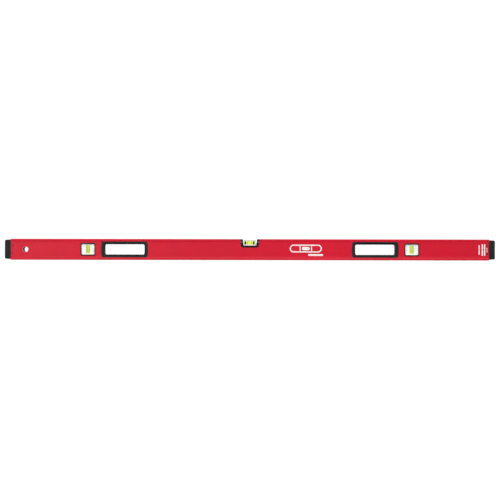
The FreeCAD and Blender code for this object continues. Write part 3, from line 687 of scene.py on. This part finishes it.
def bevel_faces(s, above):
    """1 on a face that slopes about 45 degrees up or down, higher than a height in metres, else 0."""
    split = s.add("ShaderNodeSeparateXYZ")
    s.put(split, 0, s.add("ShaderNodeNewGeometry").outputs["True Normal"])
    slope = s.calc("ABSOLUTE", split.outputs["Z"], 0.0)
    steep = s.calc("COMPARE", slope, math.sqrt(0.5))
    steep.node.inputs[2].default_value = BEVEL_TOLERANCE
    place = s.add("ShaderNodeSeparateXYZ")
    s.put(place, 0, s.place)
    return s.calc("MULTIPLY", steep, s.calc("GREATER_THAN", place.outputs["Z"], above))


def make_acrylic():
    """Polished clear block with faint flow marks. A grey tone mixed in towards its silhouette is painted
    sheen, and the dark bevels and cut edges are painted shade where the acrylic bends light away.
    """
    s = Surface("clear_acrylic", specular=1.0)
    flow = s.clouds(240.0, 3.0, stretch=(0.35, 1.0, 1.0))
    edges = s.edge_mask(radius=0.0004, turn=(0.01, 0.10))
    shaded_bevels = bevel_faces(s, ACRYLIC_BEVEL_Z)
    tone = s.mottle(flow, ACRYLIC_PAINTED_SHEEN)
    # painted shade: bevels and cut edges darkened where the acrylic bends light away
    tone = s.blend(s.calc("MAXIMUM", edges, shaded_bevels), tone, shade(ACRYLIC_EDGE_PAINTED_SHADE))
    # painted sheen: the grey tone shows more towards the silhouette
    painted_sheen_share = s.calc("MULTIPLY", facing(s, power=4.0), 0.45)
    painted_shade_share = s.calc("MAXIMUM", s.calc("MULTIPLY", edges, 0.60), s.calc("MULTIPLY", shaded_bevels, 0.85))
    share = s.calc("ADD", s.calc("MAXIMUM", painted_sheen_share, painted_shade_share), 0.012)
    see_through(s, share, ACRYLIC_TINT)
    return s.finish(tone, s.clouds(420.0, to=(0.02, 0.06)), s.bump(flow, 4 * MICRON))


def make_liquid():
    """Yellow-green spirit, deeper where it is looked at square on, with painted light: an emission
    brightens it, partly for the dye's fluorescence.
    """
    s = Surface("vial_fluid", specular=0.4)
    flow = s.clouds(160.0)
    tone = s.blend(facing(s, power=2.0), s.mottle(flow, LIQUID), shade(LIQUID_EDGE))
    # painted light: the liquid emits light, though it is no lamp
    glow(s, tone, strength=0.45)
    share = s.calc("ADD", 0.36, s.calc("MULTIPLY", facing(s, power=2.0), 0.2))
    see_through(s, share, LIQUID_TINT)
    return s.finish(tone, s.clouds(420.0, to=(0.05, 0.10)), s.bump(flow, 3 * MICRON))


def make_air():
    """Air bubble in painted light: its pale middle is painted highlight with a glow, and the darker olive
    rim is painted shade where its curved skin bends the light.
    """
    s = Surface("bubble", specular=0.6)
    ripple = s.clouds(500.0)
    # painted highlight in the middle, painted shade towards the rim
    tone = s.blend(facing(s, power=2.2), s.mottle(ripple, AIR_PAINTED_HIGHLIGHT), shade(AIR_RIM_PAINTED_SHADE))
    # painted light: the bubble glows, though it is no lamp
    glow(s, tone, strength=0.30)
    share = s.calc("ADD", 0.62, s.calc("MULTIPLY", facing(s, power=2.0), 0.30))
    see_through(s, share, AIR_TINT)
    return s.finish(tone, s.spread(ripple, *WHOLE, 0.04, 0.09), s.bump(ripple, 2 * MICRON))


# slot: colour, roughness, grain in cycles a metre, grain depth, how light edges wear, specular level
MOULDINGS = {
    "black_plastic": ((0.0040, 0.0041, 0.0046), 0.22, 2600.0, 3 * MICRON, 2.2, 0.36),
    "bezel_plastic": ((0.009, 0.012, 0.010), 0.48, 2000.0, 12 * MICRON, 2.4, 0.22),
    "grip_plastic": ((0.011, 0.016, 0.016), 0.46, 2000.0, 12 * MICRON, 2.4, 0.22),
    "cap_plastic": ((0.012, 0.017, 0.0165), 0.50, 1800.0, 14 * MICRON, 2.2, 0.22),
    "black_rubber": ((0.011, 0.0112, 0.0112), 0.66, 1500.0, 18 * MICRON, 2.2, 0.22),
    "grip_rubber": ((0.0050, 0.0054, 0.0054), 0.70, 1500.0, 20 * MICRON, 2.4, 0.18),
}
MATERIALS = {
    "red_paint": make_red_paint(),
    "bare_aluminium": make_bare_aluminium(),
    "painted_shade_inside": make_painted_shade_inside(),
    "white_plastic": make_white_plastic(),
    "printed_white": make_printed_white(),
    "black_print": make_black_print(),
    "clear_acrylic": make_acrylic(),
    "vial_fluid": make_liquid(),
    "bubble": make_air(),
}
MATERIALS.update({slot: make_moulded(slot, *look) for slot, look in MOULDINGS.items()})


def dress_cad_nodes():
    """Gives every CAD node the material of its slot. Their meshes and shading stay as packed."""
    slots = {row["node"]: row["material_slot"] for row in frame["record"]["subparts"]}
    for name, node in frame["nodes"].items():
        node.data.materials.clear()
        node.data.materials.append(MATERIALS[slots[name]])


# ---- generic marks, in millimetres: sizes are half sizes ------------------------------------------------
MARK_FRONT = -PANEL_Y - 0.06
MARK_BACK = -PANEL_Y + 0.04
MARK_STEPS = 4
CAPSULE_STEPS = 16
PICTURE_X, PICTURE_Z = 171.0, 35.5
PICTURE_OUTER = (49.0, 12.0)
PICTURE_INNER = (45.6, 8.6)
PICTURE_BUBBLE = (12.0, 5.2)
PICTURE_LINE_OFFSET = 17.5
PICTURE_LINE = (1.6, 9.0)
PICTURE_LINE_CORNER = 0.4
UNDERLINE_CENTER = (201.0, 15.8)
UNDERLINE = (22.5, 2.7)
UNDERLINE_CORNER = 0.8
END_COLUMNS = ((701.2, 1.7, 13.8), (711.0, 1.9, 17.2), (717.9, 1.9, 17.2))  # x, half width, reach in z
END_COLUMN_GAP = 0.5
END_COLUMN_TRIM = 0.2
END_COLUMN_CORNER = 0.6
THIN_BARS_X = (723.9, 726.3)
THIN_BAR = (0.4, 7.0)
THIN_BAR_CORNER = 0.2


def flat_mark(outline):
    """Builder of one filled printed shape on the front panel."""
    return lambda bm: skin(bm, [[along_y(p, t) for p in outline] for t in (MARK_FRONT, MARK_BACK)])


def ring_mark(outer, inner):
    """Builder of a printed outline between two outlines with equal numbers of points."""
    def build(bm):
        fronts = [[bm.verts.new(along_y(p, MARK_FRONT)) for p in line] for line in (outer, inner)]
        backs = [[bm.verts.new(along_y(p, MARK_BACK)) for p in line] for line in (outer, inner)]
        loops = [fronts[0], fronts[1], backs[1], backs[0]]
        for lower, upper in zip(loops, loops[1:] + loops[:1]):
            for i in range(len(lower)):
                bm.faces.new((lower[i - 1], lower[i], upper[i], upper[i - 1]))
    return build


def capsule(center, size):
    """Outline of a lying capsule."""
    return rounded(rectangle(center, size, size[1] - TOUCH), CAPSULE_STEPS)


def bar_mark(center, size, corner):
    """Builder of one printed bar with rounded corners."""
    return flat_mark(rounded(rectangle(center, size, corner), MARK_STEPS))


def make_vial_pictogram():
    """A plain picture of a vial: a capsule outline, its bubble, two lines, and a bar below."""
    center = (PICTURE_X, PICTURE_Z)
    builders = [ring_mark(capsule(center, PICTURE_OUTER), capsule(center, PICTURE_INNER))]
    builders.append(flat_mark(capsule(center, PICTURE_BUBBLE)))
    for side in (-1, 1):
        line_center = (PICTURE_X + side * PICTURE_LINE_OFFSET, PICTURE_Z)
        builders.append(bar_mark(line_center, PICTURE_LINE, PICTURE_LINE_CORNER))
    builders.append(bar_mark(UNDERLINE_CENTER, UNDERLINE, UNDERLINE_CORNER))
    return join_bmesh("printed_vial_pictogram", builders)


def make_end_marks():
    """Plain printed bars near the right-hand end."""
    builders = []
    for x, half_x, reach in END_COLUMNS:
        size = (half_x, reach / 2 - END_COLUMN_TRIM)
        for up in (-1, 1):
            center = (x, MID_Z + up * (reach / 2 + END_COLUMN_GAP))
            builders.append(bar_mark(center, size, END_COLUMN_CORNER))
    for x in THIN_BARS_X:
        builders.append(bar_mark((x, MID_Z), THIN_BAR, THIN_BAR_CORNER))
    return join_bmesh("printed_end_bars", builders)


# ---- pieces --------------------------------------------------------------------------------------------
def finish_piece(piece, material, body, *nodes):
    """Gives a piece its material and body, and hides the CAD nodes it stands for."""
    if not piece.data.materials:
        piece.data.materials.append(MATERIALS[material])
    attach(piece, body)
    if nodes:
        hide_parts(*nodes)


def build_pieces():
    """All the pieces that stand for CAD nodes or are printed on the level."""
    finish_piece(make_extrusion(), "red_paint", "level", "frame")
    finish_piece(make_center_liquid(), "vial_fluid", "level", "center_fluid")
    finish_piece(make_center_air(), "bubble", "center_bubble", "center_bubble")
    for side, sign in zip(SIDES, (-1, 1)):
        x = sign * PLUMB_X
        finish_piece(make_plumb_liquid(side, x), "vial_fluid", "level", side + "_plumb_fluid")
        node = side + "_plumb_bubble"
        finish_piece(make_plumb_air(side, x), "bubble", node, node)
    finish_piece(make_vial_pictogram(), "printed_white", "level")
    finish_piece(make_end_marks(), "printed_white", "level")


# ---- room ----------------------------------------------------------------------------------------------
BACKDROP = 1.06
SKY = (0.10, 0.60)  # strength at the horizon and overhead
FLOOR_FADE = (1.6, 3.2)  # from and to this far from the middle of the level, in metres
FLOOR_GLOW = 0.25  # share of the near floor's white that doesn't depend on the lamps
FLOOR_BOUNCE = 0.55  # how bright the floor is to everything but the camera
FLOOR_SIZE = 80.0
FLOOR_GAP = 0.0004
FLOOR_ROUGHNESS = 0.9
# name, place, size in metres, power in watts
SOFTBOXES = (
    ("top_box", (0.0, 0.0, 3.2), (5.0, 2.4), 45.0),
    ("front_box", (0.3, -3.1, 1.9), (4.4, 1.6), 82.0),
    ("rear_box", (-0.3, 3.1, 1.9), (4.4, 1.6), 70.0),
    ("left_box", (-1.75, -3.3, 0.5), (1.9, 0.9), 24.0),
    ("right_box", (3.6, -1.8, 1.2), (1.6, 1.8), 8.0),
)
CAMERA_DISTANCE = 3.4
CAMERA_LENS = 80.03
CAMERA_SENSOR = 36.0
CAMERA_X = 0.0003
CAMERA_Z = 0.0308
CAMERA_ROLL = math.radians(0.1)


def make_floor():
    """Plain pale floor, lit near the level and fading to the backdrop's white further out."""
    bpy.ops.mesh.primitive_plane_add(size=FLOOR_SIZE, location=(0.0, 0.0, cad_low.z - FLOOR_GAP))
    floor = bpy.context.object
    floor.name = "studio_floor"
    s = Surface("floor_white", specular=0.1)
    tone = s.mottle(s.noise(3.0), FLOOR_WHITE)
    s.shader.inputs["Roughness"].default_value = FLOOR_ROUGHNESS
    s.put(s.shader, "Base Color", tone)
    white = s.add("ShaderNodeEmission")
    s.put(white, "Strength", BACKDROP)
    distance = s.add("ShaderNodeVectorMath", operation="LENGTH")
    s.put(distance, 0, s.place)
    faded = s.add("ShaderNodeMixShader")
    s.put(faded, 0, s.spread(distance.outputs["Value"], *FLOOR_FADE, FLOOR_GLOW, 1.0))
    s.put(faded, 1, s.shader.outputs[0])
    s.put(faded, 2, white.outputs[0])
    black = s.add("ShaderNodeEmission")
    s.put(black, "Strength", 0.0)
    mix = s.add("ShaderNodeMixShader")
    seen = s.add("ShaderNodeLightPath").outputs["Is Camera Ray"]
    s.put(mix, 0, s.spread(seen, 0.0, 1.0, FLOOR_BOUNCE, 1.0))
    s.put(mix, 1, black.outputs[0])
    s.put(mix, 2, faded.outputs[0])
    s.tree.links.new(mix.outputs[0], s.tree.nodes["Material Output"].inputs["Surface"])
    floor.data.materials.append(s.material)


def make_world():
    """White backdrop to the camera. All else sees a dimmer sky that brightens towards overhead."""
    world = bpy.data.worlds.new("studio")
    bpy.context.scene.world = world
    world.use_nodes = True
    tree = world.node_tree
    seen = tree.nodes["Background"]
    seen.inputs["Color"].default_value = (1.0, 1.0, 1.0, 1.0)
    seen.inputs["Strength"].default_value = BACKDROP
    direction = tree.nodes.new("ShaderNodeSeparateXYZ")
    coordinates = tree.nodes.new("ShaderNodeTexCoord")
    tree.links.new(coordinates.outputs["Generated"], direction.inputs[0])
    rise = tree.nodes.new("ShaderNodeMapRange")
    tree.links.new(direction.outputs["Z"], rise.inputs["Value"])
    rise.inputs["To Min"].default_value, rise.inputs["To Max"].default_value = SKY
    lit = tree.nodes.new("ShaderNodeBackground")
    lit.inputs["Color"].default_value = (1.0, 1.0, 1.0, 1.0)
    tree.links.new(rise.outputs["Result"], lit.inputs["Strength"])
    path = tree.nodes.new("ShaderNodeLightPath")
    mix = tree.nodes.new("ShaderNodeMixShader")
    tree.links.new(path.outputs["Is Camera Ray"], mix.inputs[0])
    tree.links.new(lit.outputs[0], mix.inputs[1])
    tree.links.new(seen.outputs[0], mix.inputs[2])
    tree.links.new(mix.outputs[0], tree.nodes["World Output"].inputs["Surface"])


def add_softbox(name, place, size, power):
    """A rectangular area light aimed at the middle of the level, hidden from the camera."""
    data = bpy.data.lights.new(name, "AREA")
    data.shape = "RECTANGLE"
    data.size, data.size_y = size
    data.energy = power
    lamp = bpy.data.objects.new(name, data)
    lamp.location = place
    aim = Vector((0.0, 0.0, MID_Z * MM)) - Vector(place)
    lamp.rotation_euler = aim.to_track_quat("-Z", "Y").to_euler()
    lamp.visible_camera = False
    bpy.context.scene.collection.objects.link(lamp)


def make_camera():
    """Level, square-on camera, far enough back that the level's ends are seen almost square on too."""
    data = bpy.data.cameras.new("camera")
    data.sensor_width = CAMERA_SENSOR
    data.lens = CAMERA_LENS
    camera = bpy.data.objects.new("camera", data)
    spot = Matrix.Translation((CAMERA_X, -CAMERA_DISTANCE - PANEL_Y * MM, CAMERA_Z))
    aimed = Matrix.Rotation(math.radians(90), 4, "X")
    camera.matrix_world = spot @ aimed @ Matrix.Rotation(CAMERA_ROLL, 4, "Z")
    bpy.context.scene.collection.objects.link(camera)
    bpy.context.scene.camera = camera


dress_cad_nodes()
build_pieces()
make_floor()
make_world()
for softbox in SOFTBOXES:
    add_softbox(*softbox)
make_camera()
bpy.context.scene.view_settings.view_transform = "Standard"
